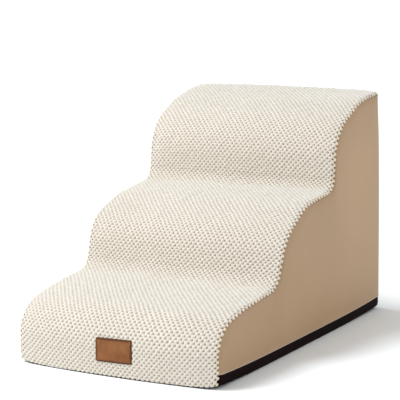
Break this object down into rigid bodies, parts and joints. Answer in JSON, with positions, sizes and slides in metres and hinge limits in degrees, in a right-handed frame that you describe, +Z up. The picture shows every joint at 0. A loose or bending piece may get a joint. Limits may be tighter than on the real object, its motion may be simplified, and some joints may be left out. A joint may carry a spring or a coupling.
{
  "type": "pet stairs",
  "caption": "Foam pet stairs in a zipped cover: cream looped treads that run down the front, smooth tan sides, a dark non-slip base and a bare leather patch.",
  "frame": {"origin": "centre of the base on the floor, half way along the length and the width", "axes": "+Z up, +Y towards the tall back, -Y is the front where the pet steps on, +X to the right seen from the front"},
  "size_m": [0.372, 0.605, 0.4011],
  "materials": {
    "firm_foam": "open-cell foam, dull",
    "soft_foam": "soft open-cell foam, dull",
    "cream_fabric": "deep looped knit with round tufts, dull",
    "tan_leather": "smooth coated fabric, satin",
    "grip_fabric": "woven fabric with raised dots, dull",
    "dark_band": "smooth coated strip, satin",
    "zipper_tape": "woven tape",
    "zipper_teeth": "moulded, satin",
    "zipper_metal": "satin enamel",
    "patch_leather": "smooth leather with darkened edge",
    "brown_thread": "waxed thread",
    "label_fabric": "smooth woven ribbon"
  },
  "bodies": {
    "stairs": {"support_foam": "firm_foam", "comfort_foam": "soft_foam", "tread_cover": "cream_fabric", "side_panel_left": "tan_leather", "side_panel_right": "tan_leather", "back_panel_upper": "tan_leather", "back_panel_lower": "tan_leather", "base_panel": "grip_fabric", "base_band": "dark_band", "zipper_tape_upper": "zipper_tape", "zipper_tape_lower": "zipper_tape", "zipper_teeth_upper": "zipper_teeth", "zipper_teeth_lower": "zipper_teeth", "zipper_top_stops": "zipper_teeth", "zipper_bottom_stop": "zipper_teeth", "label_patch": "patch_leather", "label_stitches": "brown_thread", "care_label": "label_fabric"},
    "slider": {"zipper_slider": "zipper_metal"},
    "pull": {"zipper_pull": "zipper_metal"}
  },
  "joints": [
    {"name": "zipper_slide", "type": "slide", "parent": "stairs", "child": "slider", "axis": [-1, 0, 0], "range_m": [0, 0.31]},
    {"name": "pull_hinge", "type": "hinge", "parent": "slider", "child": "pull", "pos_m": [0.1551, 0.3009, 0.048], "axis": [0, 0, -1], "range_deg": [0, 175]}
  ]
}
